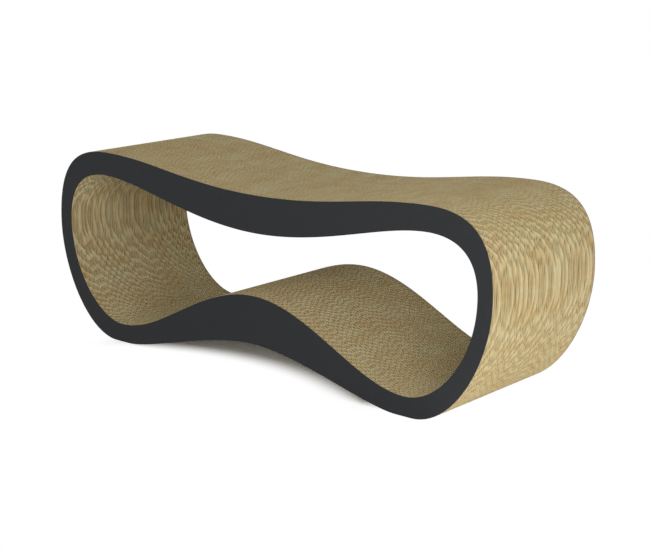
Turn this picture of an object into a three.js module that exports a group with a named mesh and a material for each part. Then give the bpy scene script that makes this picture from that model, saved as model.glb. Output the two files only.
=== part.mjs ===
// Cardboard cat lounge: a closed peanut-shaped loop of corrugated rings that stand side by side.
// Millimetres, with +X along the length, +Y to the rear and +Z up.
// The origin is on the floor, under the middle of the loop.
import * as THREE from 'three';

// Outer outline, seen from the front and the same on the left and the right
const LENGTH = 755;
const HEIGHT = 273;
const CREST_INSET = 95.5; // highest point of each lobe, measured from its end
const TOP_DIP = 24.5; // middle of the top, below the crests
const END_HEIGHT = 167; // widest point of each lobe, above the floor
const FOOT_INSET = 125.5; // middle of each foot, measured from its end
const FOOT_FLAT = 24; // stretch of each foot that rests on the floor
const ARCH_RISE = 45; // middle of the underside, above the floor

// Thickness of the loop between its outer and inner outlines
const TOP_WALL = 51;
const CREST_WALL = 33;
const END_WALL = 21.5;
const FOOT_WALL = 26;
const BUMP_WALL = 66.5;

// Fullness of each curve: how far it keeps its direction at either end, as a share of its span
const OUTER_FULLNESS = {
  top: [0.46, 0.34],
  shoulder: [0.6, 0.79],
  heel: [0.46, 0.54],
  underside: [0.2, 0.34],
};
const INNER_FULLNESS = {
  top: [0.42, 0.25],
  shoulder: [0.51, 0.8],
  heel: [0.54, 0.48],
  underside: [0.31, 0.38],
};

// Stack of sheets from the front to the rear
const BOARD_COUNT = 40;
const BOARD_THICKNESS = 5.85;
const COVER_THICKNESS = 1;
const GLUE_LINE = 0.1;

// Facets along each curve
const TOP_STEPS = 4;
const SHOULDER_STEPS = 6;
const HEEL_STEPS = 7;
const UNDERSIDE_STEPS = 7;

// Colours and finish
const KRAFT_COLOUR = 0xb39c6f;
const COVER_COLOUR = 0x3a3c3e;
const PAPER_ROUGHNESS = 0.9;
const COVER_ROUGHNESS = 0.7;

const STACK_DEPTH = BOARD_COUNT * BOARD_THICKNESS + 2 * COVER_THICKNESS + (BOARD_COUNT + 1) * GLUE_LINE;
const CREST_X = LENGTH / 2 - CREST_INSET;
const FOOT_X = LENGTH / 2 - FOOT_INSET;

const ALONG_X = new THREE.Vector2(1, 0);
const ALONG_Z = new THREE.Vector2(0, 1);

// Places where the outer outline runs level or upright, down its right-hand half
function outerTurns() {
  return {
    top: new THREE.Vector2(0, HEIGHT - TOP_DIP),
    crest: new THREE.Vector2(CREST_X, HEIGHT),
    end: new THREE.Vector2(LENGTH / 2, END_HEIGHT),
    heel: new THREE.Vector2(FOOT_X + FOOT_FLAT / 2, 0),
    toe: new THREE.Vector2(FOOT_X - FOOT_FLAT / 2, 0),
    bottom: new THREE.Vector2(0, ARCH_RISE),
  };
}

// The same places on the inner outline, set in by the walls and with no flat on the feet
function innerTurns() {
  const lowest = new THREE.Vector2(FOOT_X, FOOT_WALL);
  return {
    top: new THREE.Vector2(0, HEIGHT - TOP_DIP - TOP_WALL),
    crest: new THREE.Vector2(CREST_X, HEIGHT - CREST_WALL),
    end: new THREE.Vector2(LENGTH / 2 - END_WALL, END_HEIGHT),
    heel: lowest,
    toe: lowest,
    bottom: new THREE.Vector2(0, ARCH_RISE + BUMP_WALL),
  };
}

// Curve that leaves one turn along one axis and reaches the next along another
function bend(from, leaving, to, arriving, [startFullness, endFullness]) {
  const span = to.clone().sub(from);
  const startHandle = span.clone().multiply(leaving).multiplyScalar(startFullness).add(from);
  const endHandle = span.clone().multiply(arriving).multiplyScalar(-endFullness).add(to);
  return new THREE.CubicBezierCurve(from, startHandle, endHandle, to);
}

// Closed outline: the right-hand half from the top down, then its mirror image back up
function outline(turns, fullness) {
  const top = bend(turns.top, ALONG_X, turns.crest, ALONG_X, fullness.top);
  const shoulder = bend(turns.crest, ALONG_X, turns.end, ALONG_Z, fullness.shoulder);
  const heel = bend(turns.end, ALONG_Z, turns.heel, ALONG_X, fullness.heel);
  const underside = bend(turns.toe, ALONG_X, turns.bottom, ALONG_X, fullness.underside);
  const right = [
    ...top.getPoints(TOP_STEPS),
    ...shoulder.getPoints(SHOULDER_STEPS).slice(1),
    ...heel.getPoints(HEEL_STEPS).slice(1),
    ...underside.getPoints(UNDERSIDE_STEPS).slice(turns.toe.equals(turns.heel) ? 1 : 0),
  ];
  const left = right.slice(1, -1).reverse().map((point) => new THREE.Vector2(-point.x, point.y));
  return [...right, ...left];
}

// One ring of sheet, standing upright with its front face at y = 0 and its thickness behind it.
// The hole's outline runs the opposite way round to the ring's.
function ringGeometry(thickness) {
  const ring = new THREE.Shape(outline(outerTurns(), OUTER_FULLNESS));
  ring.holes.push(new THREE.Path(outline(innerTurns(), INNER_FULLNESS).reverse()));
  const geometry = new THREE.ExtrudeGeometry(ring, { depth: thickness, bevelEnabled: false });
  geometry.rotateX(Math.PI / 2);
  geometry.translate(0, thickness, 0);
  return geometry;
}

function paper(color, roughness) {
  return new THREE.MeshStandardMaterial({ color, roughness, metalness: 0 });
}

// Every sheet in order, from the front cover to the rear cover
function sheets() {
  const boardGeometry = ringGeometry(BOARD_THICKNESS);
  const coverGeometry = ringGeometry(COVER_THICKNESS);
  const cover = (name) => {
    const mesh = new THREE.Mesh(coverGeometry, paper(COVER_COLOUR, COVER_ROUGHNESS));
    mesh.name = name;
    return { mesh, thickness: COVER_THICKNESS };
  };
  const board = (_, index) => {
    const mesh = new THREE.Mesh(boardGeometry, paper(KRAFT_COLOUR, PAPER_ROUGHNESS));
    mesh.name = `corrugated_board_${String(index + 1).padStart(2, '0')}`;
    return { mesh, thickness: BOARD_THICKNESS };
  };
  return [cover('front_cover'), ...Array.from({ length: BOARD_COUNT }, board), cover('rear_cover')];
}

// The lounge: sheets set one behind the other, with a glue line between neighbours
function lounge() {
  const group = new THREE.Group();
  let frontFace = -STACK_DEPTH / 2;
  for (const { mesh, thickness } of sheets()) {
    mesh.position.y = frontFace;
    group.add(mesh);
    frontFace += thickness + GLUE_LINE;
  }
  return group;
}

export default lounge();
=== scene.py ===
"""Cardboard cat lounge: a loop of corrugated boards, glued side by side between two dark cover sheets."""

import math
import random

import bmesh
import bpy
import numpy as np
from mathutils import Matrix, Vector
from mathutils.geometry import interpolate_bezier


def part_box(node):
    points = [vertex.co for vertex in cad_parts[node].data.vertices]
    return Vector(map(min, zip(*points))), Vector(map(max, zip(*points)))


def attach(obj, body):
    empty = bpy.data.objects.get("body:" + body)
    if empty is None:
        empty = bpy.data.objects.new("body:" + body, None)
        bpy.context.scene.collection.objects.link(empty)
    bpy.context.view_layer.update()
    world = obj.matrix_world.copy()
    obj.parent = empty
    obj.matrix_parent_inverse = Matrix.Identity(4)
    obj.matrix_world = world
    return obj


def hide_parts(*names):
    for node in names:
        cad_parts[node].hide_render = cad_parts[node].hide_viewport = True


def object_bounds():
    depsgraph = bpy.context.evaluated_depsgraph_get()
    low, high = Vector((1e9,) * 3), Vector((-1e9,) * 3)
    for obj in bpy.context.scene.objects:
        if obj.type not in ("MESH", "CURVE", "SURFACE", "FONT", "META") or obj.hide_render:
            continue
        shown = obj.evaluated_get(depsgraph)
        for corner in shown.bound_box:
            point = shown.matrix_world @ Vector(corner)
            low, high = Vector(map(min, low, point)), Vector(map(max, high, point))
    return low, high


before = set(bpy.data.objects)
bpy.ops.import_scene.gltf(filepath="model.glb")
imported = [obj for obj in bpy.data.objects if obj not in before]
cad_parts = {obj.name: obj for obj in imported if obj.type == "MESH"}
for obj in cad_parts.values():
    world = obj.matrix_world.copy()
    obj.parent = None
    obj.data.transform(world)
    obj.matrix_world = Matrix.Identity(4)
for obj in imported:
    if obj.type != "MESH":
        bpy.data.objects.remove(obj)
CAD_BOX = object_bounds()

bl_info = {
    "name": "Cardboard Cat Lounge",
    "version": (1, 0, 0),
    "blender": (4, 5, 0),
    "location": "View3D > Sidebar > Lounge",
    "description": "Builds a loop-shaped cat lounge from corrugated boards and dark cover sheets",
    "category": "Add Mesh",
}

MM = 0.001
BOARD_NODES = sorted(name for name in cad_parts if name.startswith("corrugated_board"))
COVER_NODES = sorted(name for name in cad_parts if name.endswith("cover"))

# Directions in which an outline runs level and upright
ALONG_X = np.array((1.0, 0.0))
ALONG_Z = np.array((0.0, 1.0))

# Points on each curve of an outline: many to read a height off it, fewer for a sheet's edge
FINE_POINTS = 240
EDGE_POINTS = 33

# Points that are closer than this become one, and edges that turn by more than this are sharp
MERGE_REACH = 0.001 * MM
SHARP_ANGLE = math.radians(60)

# Columns of faces crowded against the place where an outline turns upright, how far they reach,
# and the decimals of a metre that tell two columns apart
CROWDED_COLUMNS = 60
CROWDED_REACH = 25 * MM
PLACE_DECIMALS = 7

# Noise that makes the flutes stray: how much faster it changes from board to board than along one board,
# its middle, and the level at which the flutes have strayed by their whole wander
STACK_PACE = 3.0
NOISE_MIDDLE = 0.5
NOISE_HIGH = 0.75

# Kraft paper: clouds of redder stock, drawn out across the stack, their weight beside a board's own tone,
# and the range of the two together over which the paper goes from its palest to its reddest
CLOUD_SIZE = 20 * MM
CLOUD_PACE = (1, 0.35, 1)
CLOUD_WEIGHT = 2.0
WARMTH_RANGE = (1.1, 1.9)

# Kraft paper: mottling and fibres, the range of the two together, the brightness which that gives, and the
# depth of the fibres' relief. The fibres are drawn coarser than real ones, so that they show
KRAFT_MOTTLE_SIZE = 6 * MM
FIBRE_SIZE = 0.8 * MM
FIBRE_PACE = (0.3, 1, 1)
BLOTCH_RANGE = (0.6, 1.4)
BLOTCH_LEVELS = (0.86, 1.1)
FUZZ_DEPTH = 0.05 * MM

# Printed board: mottle of the ink, in brightness and roughness, and depth of the flutes that show through
INK_MOTTLE_SIZE = 9 * MM
INK_LEVELS = (0.9, 1.1)
INK_ROUGHNESS = (0.42, 0.5)
WASHBOARD_DEPTH = 0.02 * MM

# Faces across the rounding of a cover's cut edge
SOFT_EDGE_FACES = 2

# Stage: film width in millimetres, the low panel's place above the floor, the floor's half side in metres,
# the gap that keeps it from touching the feet, and how white its paper is
FILM_WIDTH = 36
PANEL_HEIGHT = 3 * MM
FLOOR_REACH = 6
FLOOR_GAP = 0.2 * MM
PAPER_LEVEL = 0.85


# Properties

def linear(hex_colour):
    """Linear colour of an sRGB hex value."""
    channels = [int(hex_colour[place:place + 2], 16) / 255 for place in (1, 3, 5)]
    return tuple(c / 12.92 if c <= 0.04045 else ((c + 0.055) / 1.055) ** 2.4 for c in channels)


def length_property(name, description, default):
    """A length in metres."""
    return bpy.props.FloatProperty(
        name=name, description=description, default=default, precision=5, subtype="DISTANCE", unit="LENGTH"
    )


def angle_property(name, description, degrees):
    """An angle, given in degrees."""
    return bpy.props.FloatProperty(
        name=name, description=description, default=math.radians(degrees), subtype="ANGLE", unit="ROTATION"
    )


def power_property(name, description, default):
    """A lamp's power in watts."""
    return bpy.props.FloatProperty(name=name, description=description, default=default, unit="POWER")


def number_property(name, description, default):
    """A plain number from 0 up."""
    return bpy.props.FloatProperty(name=name, description=description, default=default, min=0.0)


def fullness_property(name, default):
    """How full one curve of an outline is, at its start and its end."""
    return bpy.props.FloatVectorProperty(
        name=name,
        description="How far the curve keeps its direction at either end, as a share of its span",
        default=default,
        size=2,
        min=0.0,
        max=1.0,
    )


def colour_property(name, description, hex_colour):
    """A colour, given as an sRGB hex value."""
    return bpy.props.FloatVectorProperty(
        name=name,
        description=description,
        default=linear(hex_colour),
        size=3,
        min=0.0,
        max=1.0,
        subtype="COLOR",
    )


class LoungeOutline(bpy.types.PropertyGroup):
    """The loop's outer and inner outlines, seen from the front and the same on the left and the right."""

    length: length_property("Length", "Overall length", CAD_BOX[1][0] - CAD_BOX[0][0])
    height: length_property("Height", "Overall height", CAD_BOX[1][2])
    crest_inset: length_property("Crest Inset", "Highest point of each lobe, from its end", 95.5 * MM)
    top_dip: length_property("Top Dip", "Middle of the top, below the crests", 24.5 * MM)
    end_height: length_property("End Height", "Widest point of each lobe, above the floor", 167 * MM)
    foot_inset: length_property("Foot Inset", "Middle of each foot, from its end", 125.5 * MM)
    foot_flat: length_property("Foot Flat", "Stretch of each foot on the floor", 24 * MM)
    arch_rise: length_property("Arch Rise", "Middle of the underside, above the floor", 45 * MM)
    top_wall: length_property("Top Wall", "Thickness of the loop in the middle of the top", 51 * MM)
    crest_wall: length_property("Crest Wall", "Thickness of the loop at the crests", 33 * MM)
    end_wall: length_property("End Wall", "Thickness of the loop at the ends", 21.5 * MM)
    foot_wall: length_property("Foot Wall", "Thickness of the loop at the feet", 26 * MM)
    bump_wall: length_property("Bump Wall", "Thickness of the loop at the bump", 66.5 * MM)
    outer_top: fullness_property("Outer Top", (0.46, 0.34))
    outer_shoulder: fullness_property("Outer Shoulder", (0.6, 0.79))
    outer_heel: fullness_property("Outer Heel", (0.46, 0.54))
    outer_underside: fullness_property("Outer Underside", (0.2, 0.34))
    inner_top: fullness_property("Inner Top", (0.42, 0.25))
    inner_shoulder: fullness_property("Inner Shoulder", (0.51, 0.8))
    inner_heel: fullness_property("Inner Heel", (0.54, 0.48))
    inner_underside: fullness_property("Inner Underside", (0.31, 0.38))


class LoungeBoard(bpy.types.PropertyGroup):
    """The corrugated stock that the loop is cut from."""

    liner: length_property("Liner Caliper", "Thickness of the two flat sheets of a board", 0.2 * MM)
    # The fluted sheet is drawn coarser than paper, so that its cut edge shows in a picture of the whole
    medium: length_property("Medium Caliper", "Thickness of the fluted sheet between them", 0.5 * MM)
    pitch: length_property("Flute Pitch", "Distance from one flute to the next", 7.8 * MM)
    squareness: number_property("Flute Squareness", "How much flatter a flute's tip is than a sine's", 0.06)
    flute_points: bpy.props.IntProperty(
        name="Points per Flute", description="Columns of faces along one flute", default=14, min=4
    )
    drift: length_property("Flute Drift", "Slip of flutes from midway between the last board's", 1.9 * MM)
    wander: length_property("Flute Wander", "How far flutes stray from an even spacing", 1.0 * MM)
    wander_length: length_property("Wander Length", "Distance over which they stray and come back", 60 * MM)
    stagger: length_property("Stagger", "How far a board strays from its place in the stack", 0.05 * MM)
    seed: bpy.props.IntProperty(name="Seed", description="Seed of the drift, stagger and tone", default=7)
    olive: colour_property("Olive Kraft", "Palest and greenest of the paper", "#c9bc92")
    russet: colour_property("Russet Kraft", "Darkest and reddest of the paper", "#c3ac7d")
    tone_spread: number_property("Tone Spread", "How far one board's tone is from another's", 0.3)
    # Faces show only down the flute hollows, so their level is painted shade in those hollows
    hollow_shade_level: number_property("Face Level", "Brightness of the sheets' faces, inside the board", 0.9)
    liner_level: number_property("Liner Edge Level", "Brightness of the flat sheets' cut edges", 0.9)
    medium_level: number_property("Medium Edge Level", "Brightness of the fluted sheet's cut edges", 1.0)


class LoungeCover(bpy.types.PropertyGroup):
    """The dark sheets on the front and the rear of the stack."""

    softness: length_property("Edge Softness", "Width of the rounding on the sheet's cut edges", 0.25 * MM)
    ink: colour_property("Ink", "Colour of the printed face", "#2a2b2d")


class LoungeStage(bpy.types.PropertyGroup):
    """Camera, lamps and the shadow on the floor."""

    azimuth: angle_property("Azimuth", "Camera's turn from the front", 38.96)
    elevation: angle_property("Elevation", "Camera's angle above the floor", 13.74)
    roll: angle_property("Roll", "Camera's turn about its own view", 0.84)
    distance: length_property("Distance", "From the camera to its target", 2.019)
    target: bpy.props.FloatVectorProperty(
        name="Target",
        description="Point on the front cover that the camera looks at",
        default=(0.1229, CAD_BOX[0][1], 0.1603),
        size=3,
        subtype="XYZ",
        unit="LENGTH",
    )
    lens: bpy.props.FloatProperty(
        name="Lens", description="Focal length in millimetres", default=87.46, unit="CAMERA"
    )
    key_azimuth: angle_property("Key Azimuth", "Key lamp's turn from the front", 45)
    key_elevation: angle_property("Key Elevation", "Key lamp's angle above the floor", 14)
    key_distance: length_property("Key Distance", "From the key lamp to the middle of the lounge", 1.3)
    key_size: length_property("Key Size", "Side of the key lamp's square soft box", 0.8)
    key_power: power_property("Key Power", "Power of the key lamp", 7.5)
    panel_start: length_property("Panel Start", "From the lounge's middle to the low panel's edge", 0.31)
    panel_length: length_property("Panel Length", "Size of the low panel along the lounge", 0.5)
    panel_width: length_property("Panel Width", "Size of the low panel across the lounge", 0.6)
    panel_power: power_property("Panel Power", "Power of the low panel", 0.75)
    fill: number_property("Fill", "Strength of the light all round", 0.66)
    floor_gain: number_property("Floor Gain", "How much whiter the camera sees the floor than it is", 2.0)
    shadow_shift: length_property("Shadow Shift", "From the lounge's middle to the shadow's", -0.033)
    shadow_length: length_property("Shadow Length", "From its middle to either end of the shadow", 0.2565)
    shadow_depth: length_property("Shadow Depth", "From its middle to its front or rear edge", 0.0895)
    shadow_fade: length_property("Shadow Fade", "Width over which the shadow fades out at its edge", 0.057)
    shadow_flare: number_property("Shadow Flare", "How fast it widens from its middle to its ends", 1.45)


class LoungeSettings(bpy.types.PropertyGroup):
    """All the values that a user would change."""

    outline: bpy.props.PointerProperty(type=LoungeOutline)
    board: bpy.props.PointerProperty(type=LoungeBoard)
    cover: bpy.props.PointerProperty(type=LoungeCover)
    stage: bpy.props.PointerProperty(type=LoungeStage)


# Outlines

def outer_turns(size):
    """Places where the outer outline runs level or upright, down its right-hand half."""
    crest_x = size.length / 2 - size.crest_inset
    foot_x = size.length / 2 - size.foot_inset
    return {
        "top": (0, size.height - size.top_dip),
        "crest": (crest_x, size.height),
        "end": (size.length / 2, size.end_height),
        "heel": (foot_x + size.foot_flat / 2, 0),
        "toe": (foot_x - size.foot_flat / 2, 0),
        "bottom": (0, size.arch_rise),
    }


def inner_turns(size):
    """The same places on the inner outline, set in by the walls and with no flat on the feet."""
    crest_x = size.length / 2 - size.crest_inset
    foot_x = size.length / 2 - size.foot_inset
    return {
        "top": (0, size.height - size.top_dip - size.top_wall),
        "crest": (crest_x, size.height - size.crest_wall),
        "end": (size.length / 2 - size.end_wall, size.end_height),
        "heel": (foot_x, size.foot_wall),
        "toe": (foot_x, size.foot_wall),
        "bottom": (0, size.arch_rise + size.bump_wall),
    }


def bend(start, leaving, end, arriving, fullness, points):
    """Points of a curve that leaves one turn along one axis and reaches the next along another."""
    start, end = np.array(start), np.array(end)
    span = end - start
    start_handle = start + span * leaving * fullness[0]
    end_handle = end - span * arriving * fullness[1]
    knots = [Vector((x, z, 0)) for x, z in (start, start_handle, end_handle, end)]
    return np.array(interpolate_bezier(*knots, points))[:, :2]


def branches(size, side, points):
    """Upper and lower branch of an outline's right-hand half, both from the middle out to the end."""
    turns = outer_turns(size) if side == "outer" else inner_turns(size)
    curves = ("top", "shoulder", "heel", "underside")
    fullness = {curve: getattr(size, f"{side}_{curve}") for curve in curves}
    top = bend(turns["top"], ALONG_X, turns["crest"], ALONG_X, fullness["top"], points)
    shoulder = bend(turns["crest"], ALONG_X, turns["end"], ALONG_Z, fullness["shoulder"], points)
    heel = bend(turns["end"], ALONG_Z, turns["heel"], ALONG_X, fullness["heel"], points)
    underside = bend(turns["toe"], ALONG_X, turns["bottom"], ALONG_X, fullness["underside"], points)
    return np.vstack([top, shoulder[1:]]), np.vstack([underside[::-1], heel[::-1]])


def closed_outline(size, side, points):
    """A whole outline: the right-hand half from the top down, then its mirror image back up."""
    upper, lower = branches(size, side, points)
    right = np.vstack([upper, lower[-2::-1]])
    left = right[-2:0:-1] * (-1, 1)
    return np.vstack([right, left])


# Meshes and objects

def ring_faces(builder, size, points):
    """Flat ring between the two outlines, facing the rear."""
    outer = [builder.verts.new((x, 0, z)) for x, z in closed_outline(size, "outer", points)]
    inner = [builder.verts.new((x, 0, z)) for x, z in closed_outline(size, "inner", points)]
    pairs = list(zip(outer, inner))
    return [builder.faces.new((a, b, d, c)) for (a, b), (c, d) in zip(pairs, pairs[1:] + pairs[:1])]


def built_mesh(name, builder):
    """Mesh of what a builder holds. The builder is used up."""
    mesh = bpy.data.meshes.new(name)
    builder.to_mesh(mesh)
    builder.free()
    return mesh


def shade_with_creases(mesh):
    """Smooth shading that stops at sharp edges."""
    mesh.shade_smooth()
    mesh.set_sharp_from_angle(angle=SHARP_ANGLE)


def add_object(name, data):
    """New object in the scene."""
    added = bpy.data.objects.new(name, data)
    bpy.context.scene.collection.objects.link(added)
    return added


# Nodes

def add_node(tree, kind, inputs=None, **settings):
    """Add a node with its settings, and link or fill its inputs by name or place."""
    node = tree.nodes.new(kind)
    for name, value in settings.items():
        setattr(node, name, value)
    for key, value in (inputs or {}).items():
        if isinstance(value, bpy.types.NodeSocket):
            tree.links.new(value, node.inputs[key])
        else:
            node.inputs[key].default_value = value
    return node


def empty_tree(owner):
    """Node tree of a new material or world, with nothing in it."""
    owner.use_nodes = True
    owner.node_tree.nodes.clear()
    return owner.node_tree


def new_material(name):
    """A material with an empty tree but for its surface shader and output."""
    material = bpy.data.materials.new(name)
    tree = empty_tree(material)
    shader = add_node(tree, "ShaderNodeBsdfPrincipled")
    add_node(tree, "ShaderNodeOutputMaterial", {"Surface": shader.outputs["BSDF"]})
    return material, tree, shader


# Materials

def kraft_paper(name, board, edge_level):
    """Unbleached kraft paper, felt-dry from the machine: soft brown mottling, short fibres and no gloss."""
    material, tree, shader = new_material(name)
    place = add_node(tree, "ShaderNodeTexCoord").outputs["Object"]

    # Stock: clouds between the palest and the reddest paper, moved by the board's own tone
    across = add_node(tree, "ShaderNodeMapping", {"Vector": place, "Scale": CLOUD_PACE}).outputs["Vector"]
    cloud = add_node(
        tree, "ShaderNodeTexNoise", {"Vector": across, "Scale": 1 / CLOUD_SIZE, "Detail": 3.0}
    ).outputs["Fac"]
    tone = add_node(tree, "ShaderNodeAttribute", attribute_name="tone").outputs["Fac"]
    warmth = add_node(
        tree, "ShaderNodeMath", {0: cloud, 1: CLOUD_WEIGHT, 2: tone}, operation="MULTIPLY_ADD"
    ).outputs[0]
    share = add_node(
        tree,
        "ShaderNodeMapRange",
        {"Value": warmth, "From Min": WARMTH_RANGE[0], "From Max": WARMTH_RANGE[1]},
    ).outputs["Result"]
    stock = add_node(
        tree,
        "ShaderNodeMix",
        {"Factor": share, 6: (*board.olive, 1), 7: (*board.russet, 1)},
        data_type="RGBA",
    ).outputs[2]

    # Brightness: mottling and fibres, with cut edges and faces each at their own level. The sheets' faces
    # show only down the flute hollows, so their level below the fluted sheet's cut edges is painted shade
    # in those hollows, and only partly paler cut fibre on the edges
    mottle = add_node(
        tree, "ShaderNodeTexNoise", {"Vector": place, "Scale": 1 / KRAFT_MOTTLE_SIZE, "Detail": 5.0}
    ).outputs["Fac"]
    along = add_node(tree, "ShaderNodeMapping", {"Vector": place, "Scale": FIBRE_PACE}).outputs["Vector"]
    fibre = add_node(
        tree, "ShaderNodeTexNoise", {"Vector": along, "Scale": 1 / FIBRE_SIZE, "Detail": 3.0}
    ).outputs["Fac"]
    blotch = add_node(tree, "ShaderNodeMath", {0: mottle, 1: fibre}, operation="ADD").outputs[0]
    depth = add_node(
        tree,
        "ShaderNodeMapRange",
        {
            "Value": blotch,
            "From Min": BLOTCH_RANGE[0],
            "From Max": BLOTCH_RANGE[1],
            "To Min": BLOTCH_LEVELS[0],
            "To Max": BLOTCH_LEVELS[1],
        },
    ).outputs["Result"]
    # Cut edges at their own level, faces at the lower level that is painted shade in the flute hollows
    cut = add_node(tree, "ShaderNodeAttribute", attribute_name="cut").outputs["Fac"]
    edge_and_hollow_shade = add_node(
        tree, "ShaderNodeMapRange", {"Value": cut, "To Min": board.hollow_shade_level, "To Max": edge_level}
    ).outputs["Result"]
    level = add_node(tree, "ShaderNodeMath", {0: depth, 1: edge_and_hollow_shade}, operation="MULTIPLY").outputs[0]

    colour = add_node(tree, "ShaderNodeVectorMath", {0: stock, "Scale": level}, operation="SCALE")
    fuzz = add_node(tree, "ShaderNodeBump", {"Height": fibre, "Distance": FUZZ_DEPTH, "Strength": 0.5})
    tree.links.new(colour.outputs["Vector"], shader.inputs["Base Color"])
    tree.links.new(fuzz.outputs["Normal"], shader.inputs["Normal"])
    shader.inputs["Roughness"].default_value = 0.9
    shader.inputs["Specular IOR Level"].default_value = 0.2
    return material


def printed_board(name, cover, pitch):
    """Solid board printed dark and matt: an even ink with a faint mottle and the flutes showing through."""
    material, tree, shader = new_material(name)
    place = add_node(tree, "ShaderNodeTexCoord").outputs["Object"]
    mottle = add_node(
        tree, "ShaderNodeTexNoise", {"Vector": place, "Scale": 1 / INK_MOTTLE_SIZE, "Detail": 6.0}
    ).outputs["Fac"]
    depth = add_node(
        tree, "ShaderNodeMapRange", {"Value": mottle, "To Min": INK_LEVELS[0], "To Max": INK_LEVELS[1]}
    ).outputs["Result"]
    gloss = add_node(
        tree,
        "ShaderNodeMapRange",
        {"Value": mottle, "To Min": INK_ROUGHNESS[0], "To Max": INK_ROUGHNESS[1]},
    )
    along = add_node(tree, "ShaderNodeSeparateXYZ", {"Vector": place}).outputs["X"]
    turn = add_node(
        tree, "ShaderNodeMath", {0: along, 1: 2 * math.pi / pitch}, operation="MULTIPLY"
    ).outputs[0]
    wave = add_node(tree, "ShaderNodeMath", {0: turn}, operation="SINE").outputs[0]
    colour = add_node(tree, "ShaderNodeVectorMath", {0: cover.ink, "Scale": depth}, operation="SCALE")
    washboard = add_node(
        tree, "ShaderNodeBump", {"Height": wave, "Distance": WASHBOARD_DEPTH, "Strength": 0.5}
    )
    tree.links.new(colour.outputs["Vector"], shader.inputs["Base Color"])
    tree.links.new(gloss.outputs["Result"], shader.inputs["Roughness"])
    tree.links.new(washboard.outputs["Normal"], shader.inputs["Normal"])
    shader.inputs["Specular IOR Level"].default_value = 0.1
    return material


# Corrugated boards

def column_places(outer_end, inner_end, step):
    """Where the columns of a fluted sheet stand, closest together where an outline turns upright."""
    crowd = np.linspace(0, 1, CROWDED_COLUMNS) ** 2
    half = np.concatenate([
        np.arange(0, inner_end - CROWDED_REACH, step),
        inner_end - CROWDED_REACH * crowd,
        outer_end - (outer_end - inner_end) * crowd,
    ])
    half = np.unique(half.round(PLACE_DECIMALS))
    return np.concatenate([-half[:0:-1], half])


def board_blank(size, board):
    """Flat pattern of a board: upright columns for the fluted sheet and a plain ring for the liners."""
    outer_upper, outer_lower = branches(size, "outer", FINE_POINTS)
    inner_upper, inner_lower = branches(size, "inner", FINE_POINTS)
    columns = column_places(outer_upper[-1, 0], inner_upper[-1, 0], board.pitch / board.flute_points)
    reach = np.abs(columns)
    floors = [np.interp(reach, *branch.T) for branch in (outer_lower, inner_upper)]
    ceilings = [np.interp(reach, *branch.T) for branch in (inner_lower, outer_upper)]
    builder = bmesh.new()
    flag = builder.faces.layers.bool.new("is_liner")
    for floor, ceiling in zip(floors, ceilings):
        low = [builder.verts.new((x, 0, z)) for x, z in zip(columns, floor)]
        high = [builder.verts.new((x, 0, z)) for x, z in zip(columns, ceiling)]
        pairs = list(zip(low, high))
        for (a, b), (c, d) in zip(pairs, pairs[1:]):
            builder.faces.new((a, b, d, c))
    bmesh.ops.remove_doubles(builder, verts=builder.verts, dist=MERGE_REACH)
    for face in ring_faces(builder, size, EDGE_POINTS):
        face[flag] = True
    return built_mesh("board_blank", builder)


def flute_count(tree, given):
    """Nodes that count the flutes from the middle to each point, as they drift and stray on this board."""
    position = add_node(tree, "GeometryNodeInputPosition").outputs["Position"]
    across = add_node(tree, "ShaderNodeSeparateXYZ", {"Vector": position}).outputs["X"]
    along = add_node(
        tree, "ShaderNodeMath", {0: given["Front"], 1: STACK_PACE}, operation="MULTIPLY"
    ).outputs[0]
    spot = add_node(tree, "ShaderNodeCombineXYZ", {"X": across, "Y": along}).outputs["Vector"]
    frequency = add_node(
        tree, "ShaderNodeMath", {0: 1.0, 1: given["Wander Length"]}, operation="DIVIDE"
    ).outputs[0]
    field = add_node(
        tree, "ShaderNodeTexNoise", {"Vector": spot, "Scale": frequency, "Detail": 1.0}
    ).outputs["Fac"]
    stray = add_node(
        tree,
        "ShaderNodeMapRange",
        {
            "Value": field,
            "From Min": NOISE_MIDDLE,
            "From Max": NOISE_HIGH,
            "To Min": 0.0,
            "To Max": given["Flute Wander"],
        },
        clamp=False,
    ).outputs["Result"]
    even = add_node(
        tree, "ShaderNodeMath", {0: across, 1: given["Flute Shift"]}, operation="ADD"
    ).outputs[0]
    shifted = add_node(tree, "ShaderNodeMath", {0: even, 1: stray}, operation="ADD").outputs[0]
    return add_node(
        tree, "ShaderNodeMath", {0: shifted, 1: given["Flute Pitch"]}, operation="DIVIDE"
    ).outputs[0]


def flute_wave(tree, flutes, squareness):
    """Nodes for a sine with flattened tips, which goes from -1 to 1 and back in each flute."""
    angle = add_node(tree, "ShaderNodeMath", {0: flutes, 1: 2 * math.pi}, operation="MULTIPLY").outputs[0]
    sine = add_node(tree, "ShaderNodeMath", {0: angle}, operation="SINE").outputs[0]
    triple = add_node(tree, "ShaderNodeMath", {0: angle, 1: 3.0}, operation="MULTIPLY").outputs[0]
    overtone = add_node(tree, "ShaderNodeMath", {0: triple}, operation="SINE").outputs[0]
    squared = add_node(
        tree, "ShaderNodeMath", {0: overtone, 1: squareness, 2: sine}, operation="MULTIPLY_ADD"
    ).outputs[0]
    tip = add_node(tree, "ShaderNodeMath", {0: 1.0, 1: squareness}, operation="SUBTRACT").outputs[0]
    return add_node(tree, "ShaderNodeMath", {0: squared, 1: tip}, operation="DIVIDE").outputs[0]


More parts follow.
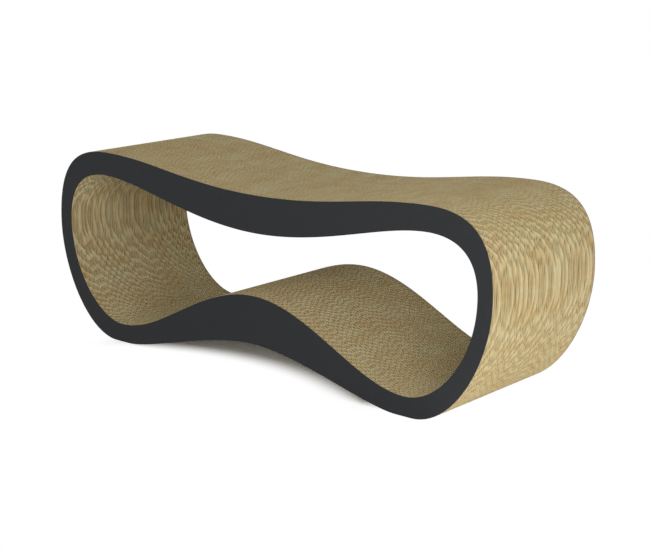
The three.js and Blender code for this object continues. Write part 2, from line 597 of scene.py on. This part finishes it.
def flute_lift(tree, given):
    """Nodes that lift the fluted sheet off the board's front, from one liner to the other and back."""
    wave = flute_wave(tree, flute_count(tree, given), given["Flute Squareness"])
    half, half_medium = (
        add_node(tree, "ShaderNodeMath", {0: given[name], 1: 0.5}, operation="MULTIPLY").outputs[0]
        for name in ("Thickness", "Medium Caliper")
    )
    middle = add_node(tree, "ShaderNodeMath", {0: half, 1: half_medium}, operation="SUBTRACT").outputs[0]
    rise = add_node(
        tree, "ShaderNodeMath", {0: middle, 1: given["Liner Caliper"]}, operation="SUBTRACT"
    ).outputs[0]
    height = add_node(
        tree, "ShaderNodeMath", {0: wave, 1: rise, 2: middle}, operation="MULTIPLY_ADD"
    ).outputs[0]
    return add_node(tree, "ShaderNodeCombineXYZ", {"Y": height}).outputs["Vector"]


def closed_sheet(tree, flat, extrusion):
    """Nodes that give a flat sheet its caliper and close it on every side."""
    back = add_node(tree, "GeometryNodeFlipFaces", {"Mesh": flat}).outputs["Mesh"]
    raised = add_node(
        tree, "GeometryNodeExtrudeMesh", {"Mesh": flat, "Individual": False, **extrusion}, mode="FACES"
    )
    marked = add_node(
        tree,
        "GeometryNodeStoreNamedAttribute",
        {"Geometry": raised.outputs["Mesh"], "Name": "cut", "Value": raised.outputs["Side"]},
        domain="FACE",
    ).outputs["Geometry"]
    both = add_node(tree, "GeometryNodeJoinGeometry")
    for side in (back, marked):
        tree.links.new(side, both.inputs["Geometry"])
    return add_node(
        tree, "GeometryNodeMergeByDistance", {"Geometry": both.outputs["Geometry"], "Distance": MERGE_REACH}
    ).outputs["Geometry"]


def corrugated_tree(liner_material, medium_material):
    """Geometry nodes that raise a flat pattern into two liners with a fluted sheet between them."""
    tree = bpy.data.node_groups.new("corrugated board", "GeometryNodeTree")
    for name, kind in (
        ("Geometry", "NodeSocketGeometry"),
        ("Front", "NodeSocketFloat"),
        ("Thickness", "NodeSocketFloat"),
        ("Liner Caliper", "NodeSocketFloat"),
        ("Medium Caliper", "NodeSocketFloat"),
        ("Flute Pitch", "NodeSocketFloat"),
        ("Flute Squareness", "NodeSocketFloat"),
        ("Flute Shift", "NodeSocketFloat"),
        ("Flute Wander", "NodeSocketFloat"),
        ("Wander Length", "NodeSocketFloat"),
        ("Stagger", "NodeSocketVector"),
        ("Tone", "NodeSocketFloat"),
    ):
        tree.interface.new_socket(name=name, in_out="INPUT", socket_type=kind)
    tree.interface.new_socket(name="Geometry", in_out="OUTPUT", socket_type="NodeSocketGeometry")
    given = add_node(tree, "NodeGroupInput").outputs
    flag = add_node(tree, "GeometryNodeInputNamedAttribute", {"Name": "is_liner"}, data_type="BOOLEAN")
    is_liner = flag.outputs["Attribute"]
    pattern = add_node(
        tree,
        "GeometryNodeSeparateGeometry",
        {"Geometry": given["Geometry"], "Selection": is_liner},
        domain="FACE",
    ).outputs

    # Fluted sheet
    fluted = add_node(
        tree,
        "GeometryNodeSetPosition",
        {"Geometry": pattern["Inverted"], "Offset": flute_lift(tree, given)},
    ).outputs["Geometry"]
    medium = closed_sheet(tree, fluted, {"Offset Scale": given["Medium Caliper"]})

    # Liners: the plain ring twice, flush with the front and the rear of the board
    liner = closed_sheet(
        tree, pattern["Selection"], {"Offset": (0, 1, 0), "Offset Scale": given["Liner Caliper"]}
    )
    inset = add_node(
        tree, "ShaderNodeMath", {0: given["Thickness"], 1: given["Liner Caliper"]}, operation="SUBTRACT"
    ).outputs[0]
    step = add_node(tree, "ShaderNodeCombineXYZ", {"Y": inset}).outputs["Vector"]
    rear_liner = add_node(
        tree, "GeometryNodeTransform", {"Geometry": liner, "Translation": step}
    ).outputs["Geometry"]

    # Whole board in its place in the stack
    whole = add_node(tree, "GeometryNodeJoinGeometry")
    for sheet in (medium, liner, rear_liner):
        tree.links.new(sheet, whole.inputs["Geometry"])
    front = add_node(tree, "ShaderNodeCombineXYZ", {"Y": given["Front"]}).outputs["Vector"]
    place = add_node(
        tree, "ShaderNodeVectorMath", {0: front, 1: given["Stagger"]}, operation="ADD"
    ).outputs["Vector"]
    placed = add_node(
        tree, "GeometryNodeTransform", {"Geometry": whole.outputs["Geometry"], "Translation": place}
    ).outputs["Geometry"]
    toned = add_node(
        tree,
        "GeometryNodeStoreNamedAttribute",
        {"Geometry": placed, "Name": "tone", "Value": given["Tone"]},
    ).outputs["Geometry"]
    solid = add_node(tree, "GeometryNodeRealizeInstances", {"Geometry": toned}).outputs["Geometry"]
    papered = add_node(
        tree, "GeometryNodeSetMaterial", {"Geometry": solid, "Material": medium_material}
    ).outputs["Geometry"]
    lined = add_node(
        tree,
        "GeometryNodeSetMaterial",
        {"Geometry": papered, "Selection": is_liner, "Material": liner_material},
    ).outputs["Geometry"]
    add_node(tree, "NodeGroupOutput", {"Geometry": lined})
    return tree


def grow_board(name, blank, tree, values):
    """One board as a plain mesh: the flat pattern raised by the tree with this board's own values."""
    pattern = add_object("pattern", blank)
    modifier = pattern.modifiers.new("corrugation", "NODES")
    modifier.node_group = tree
    for socket in tree.interface.items_tree:
        if socket.in_out == "INPUT" and socket.name in values:
            modifier[socket.identifier] = values[socket.name]
    depsgraph = bpy.context.evaluated_depsgraph_get()
    mesh = bpy.data.meshes.new_from_object(
        pattern.evaluated_get(depsgraph), preserve_all_data_layers=True, depsgraph=depsgraph
    )
    bpy.data.objects.remove(pattern)
    mesh.name = name
    shade_with_creases(mesh)
    return add_object(name, mesh)


class LOUNGE_OT_boards(bpy.types.Operator):
    """Fill the loop with corrugated boards"""

    bl_idname = "lounge.boards"
    bl_label = "Corrugated Boards"

    def execute(self, context):
        settings = context.scene.lounge
        board = settings.board
        chance = random.Random(board.seed)
        liner_paper = kraft_paper("kraft linerboard", board, board.liner_level)
        medium_paper = kraft_paper("recycled fluting paper", board, board.medium_level)
        blank = board_blank(settings.outline, board)
        tree = corrugated_tree(liner_paper, medium_paper)
        shift = 0.0
        for node in BOARD_NODES:
            low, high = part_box(node)
            shift += board.pitch / 2 + chance.gauss(0, board.drift)
            sideways = chance.uniform(-1, 1) * board.stagger
            upwards = chance.uniform(0, 1) * board.stagger
            values = {
                "Front": low.y,
                "Thickness": high.y - low.y,
                "Liner Caliper": board.liner,
                "Medium Caliper": board.medium,
                "Flute Pitch": board.pitch,
                "Flute Squareness": board.squareness,
                "Flute Shift": shift,
                "Flute Wander": board.wander,
                "Wander Length": board.wander_length,
                "Stagger": (sideways, 0.0, upwards),
                "Tone": 0.5 + board.tone_spread * (chance.random() - 0.5),
            }
            piece = grow_board(node.replace("corrugated", "fluted"), blank, tree, values)
            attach(piece, "root")
            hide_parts(node)
        bpy.data.meshes.remove(blank)
        return {"FINISHED"}


# Cover sheets

def cover_sheet(name, size, cover, low, high, material):
    """One dark sheet: the flat ring given its thickness, with its cut edges rounded."""
    builder = bmesh.new()
    ring_faces(builder, size, EDGE_POINTS)
    bmesh.ops.remove_doubles(builder, verts=builder.verts, dist=MERGE_REACH)
    copy = bmesh.ops.extrude_face_region(builder, geom=builder.faces[:])
    raised = [item for item in copy["geom"] if isinstance(item, bmesh.types.BMVert)]
    bmesh.ops.translate(builder, verts=raised, vec=(0, high.y - low.y, 0))
    bmesh.ops.translate(builder, verts=builder.verts, vec=(0, low.y, 0))
    bmesh.ops.recalc_face_normals(builder, faces=builder.faces)
    mesh = built_mesh(name, builder)
    mesh.materials.append(material)
    shade_with_creases(mesh)
    piece = add_object(name, mesh)
    rounding = piece.modifiers.new("soft edges", "BEVEL")
    rounding.width = cover.softness
    rounding.segments = SOFT_EDGE_FACES
    rounding.limit_method = "ANGLE"
    rounding.angle_limit = SHARP_ANGLE
    return piece


class LOUNGE_OT_covers(bpy.types.Operator):
    """Close the front and the rear with dark cover sheets"""

    bl_idname = "lounge.covers"
    bl_label = "Cover Sheets"

    def execute(self, context):
        settings = context.scene.lounge
        material = printed_board("matt printed board", settings.cover, settings.board.pitch)
        for node in COVER_NODES:
            low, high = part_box(node)
            name = node.replace("cover", "cover_sheet")
            piece = cover_sheet(name, settings.outline, settings.cover, low, high, material)
            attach(piece, "root")
            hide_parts(node)
        return {"FINISHED"}


# Stage

def direction(azimuth, elevation):
    """Unit vector from the middle of the scene towards a camera or a lamp at that bearing."""
    level = math.cos(elevation)
    return Vector((math.sin(azimuth) * level, -math.cos(azimuth) * level, math.sin(elevation)))


def place_camera(stage):
    """Camera at the photograph's viewing angle."""
    back = direction(stage.azimuth, stage.elevation)
    right = Vector((math.cos(stage.azimuth), math.sin(stage.azimuth), 0))
    up = back.cross(right)
    turn = Matrix((right, up, back)).transposed() @ Matrix.Rotation(stage.roll, 3, "Z")
    data = bpy.data.cameras.new("camera")
    data.lens = stage.lens
    data.sensor_width = FILM_WIDTH
    camera = add_object("camera", data)
    camera.matrix_world = Matrix.Translation(Vector(stage.target) + back * stage.distance) @ turn.to_4x4()
    bpy.context.scene.camera = camera


def place_key_lamp(stage):
    """Square soft box that faces the middle of the lounge."""
    back = direction(stage.key_azimuth, stage.key_elevation)
    data = bpy.data.lights.new("key", "AREA")
    data.size = stage.key_size
    data.energy = stage.key_power
    lamp = add_object("key", data)
    lamp.location = Vector((0, 0, CAD_BOX[1][2] / 2)) + back * stage.key_distance
    lamp.rotation_euler = back.to_track_quat("Z", "Y").to_euler()


def place_low_panel(stage):
    """Soft panel, face up on the floor, that lights the right end from below as bright paper would."""
    data = bpy.data.lights.new("low panel", "AREA")
    data.shape = "RECTANGLE"
    data.size = stage.panel_length
    data.size_y = stage.panel_width
    data.energy = stage.panel_power
    lamp = add_object("low panel", data)
    lamp.location = (stage.panel_start + stage.panel_length / 2, 0, PANEL_HEIGHT)
    lamp.rotation_euler = (math.pi, 0, 0)
    lamp.visible_camera = False


def seen_directly(tree):
    """Socket that is 1 for what the camera sees, also by reflection or through glass."""
    path = add_node(tree, "ShaderNodeLightPath").outputs
    gloss = add_node(
        tree, "ShaderNodeMath", {0: path["Is Camera Ray"], 1: path["Is Glossy Ray"]}, operation="MAXIMUM"
    )
    every = add_node(
        tree, "ShaderNodeMath", {0: gloss.outputs[0], 1: path["Is Transmission Ray"]}, operation="MAXIMUM"
    )
    return every.outputs[0]


def white_world(fill):
    """White background, with a weaker white light all round."""
    world = bpy.data.worlds.new("studio")
    tree = empty_tree(world)
    light, white = (
        add_node(tree, "ShaderNodeBackground", {"Color": (1, 1, 1, 1), "Strength": strength}).outputs[0]
        for strength in (fill, 1.0)
    )
    mix = add_node(tree, "ShaderNodeMixShader", {0: seen_directly(tree), 1: light, 2: white})
    add_node(tree, "ShaderNodeOutputWorld", {"Surface": mix.outputs[0]})
    bpy.context.scene.world = world


def seamless_paper(stage):
    """White seamless paper, dull and even, that keeps the lounge's shadow and is white all round it."""
    material, tree, shader = new_material("white seamless paper")
    seen = seen_directly(tree)

    # Clear of the shadow: past either end of it, or past its front or rear edge
    place = add_node(tree, "ShaderNodeTexCoord").outputs["Object"]
    sides = add_node(tree, "ShaderNodeVectorMath", {0: place}, operation="ABSOLUTE").outputs["Vector"]
    along, across, _ = add_node(tree, "ShaderNodeSeparateXYZ", {"Vector": sides}).outputs
    square = add_node(tree, "ShaderNodeMath", {0: along, 1: along}, operation="MULTIPLY").outputs[0]
    back = add_node(
        tree, "ShaderNodeMath", {0: square, 1: -stage.shadow_flare, 2: across}, operation="MULTIPLY_ADD"
    ).outputs[0]
    past_end, past_front = (
        add_node(
            tree,
            "ShaderNodeMapRange",
            {"Value": distance, "From Min": reach - stage.shadow_fade, "From Max": reach},
            interpolation_type="SMOOTHSTEP",
        ).outputs["Result"]
        for distance, reach in ((along, stage.shadow_length), (back, stage.shadow_depth))
    )
    clear = add_node(tree, "ShaderNodeMath", {0: past_end, 1: past_front}, operation="MAXIMUM").outputs[0]

    # Paper that takes light and shade in the shadow, and shines plain white where it is clear of it
    shaded = add_node(
        tree,
        "ShaderNodeMapRange",
        {"Value": clear, "To Min": PAPER_LEVEL * stage.floor_gain, "To Max": 0.0},
    ).outputs["Result"]
    white = add_node(tree, "ShaderNodeMapRange", {"Value": seen, "To Min": PAPER_LEVEL, "To Max": shaded})
    strength = add_node(tree, "ShaderNodeMath", {0: seen, 1: clear}, operation="MULTIPLY")
    tree.links.new(white.outputs["Result"], shader.inputs["Base Color"])
    tree.links.new(strength.outputs[0], shader.inputs["Emission Strength"])
    shader.inputs["Emission Color"].default_value = (1, 1, 1, 1)
    shader.inputs["Roughness"].default_value = 1.0
    shader.inputs["Specular IOR Level"].default_value = 0.0
    return material


def white_floor(stage):
    """White floor with its middle under the shadow's."""
    mesh = bpy.data.meshes.new("floor")
    corners = [(x * FLOOR_REACH, y * FLOOR_REACH, 0) for x, y in ((-1, -1), (1, -1), (1, 1), (-1, 1))]
    mesh.from_pydata(corners, [], [(0, 1, 2, 3)])
    mesh.materials.append(seamless_paper(stage))
    floor = add_object("floor", mesh)
    floor.location = (stage.shadow_shift, 0, -FLOOR_GAP)


class LOUNGE_OT_stage(bpy.types.Operator):
    """Set the camera, the lamps and a plain white floor"""

    bl_idname = "lounge.stage"
    bl_label = "Studio Stage"

    def execute(self, context):
        stage = context.scene.lounge.stage
        place_camera(stage)
        place_key_lamp(stage)
        place_low_panel(stage)
        white_world(stage.fill)
        white_floor(stage)
        context.scene.view_settings.view_transform = "Standard"
        return {"FINISHED"}


# Add-on

class LOUNGE_PT_panel(bpy.types.Panel):
    """Shows a button for each step, with the settings that it uses"""

    bl_idname = "LOUNGE_PT_panel"
    bl_label = "Cat Lounge"
    bl_space_type = "VIEW_3D"
    bl_region_type = "UI"
    bl_category = "Lounge"

    def draw(self, context):
        settings = context.scene.lounge
        for operator, groups in (
            ("lounge.boards", (settings.outline, settings.board)),
            ("lounge.covers", (settings.cover,)),
            ("lounge.stage", (settings.stage,)),
        ):
            box = self.layout.box()
            box.operator(operator)
            for group in groups:
                for name in group.__annotations__:
                    box.prop(group, name)


CLASSES = (
    LoungeOutline,
    LoungeBoard,
    LoungeCover,
    LoungeStage,
    LoungeSettings,
    LOUNGE_OT_boards,
    LOUNGE_OT_covers,
    LOUNGE_OT_stage,
    LOUNGE_PT_panel,
)


def register():
    for cls in CLASSES:
        bpy.utils.register_class(cls)
    bpy.types.Scene.lounge = bpy.props.PointerProperty(type=LoungeSettings)


def unregister():
    del bpy.types.Scene.lounge
    for cls in reversed(CLASSES):
        bpy.utils.unregister_class(cls)


def main():
    """Build the lounge and its stage."""
    register()
    bpy.ops.lounge.boards()
    bpy.ops.lounge.covers()
    bpy.ops.lounge.stage()


if __name__ == "__main__":
    main()
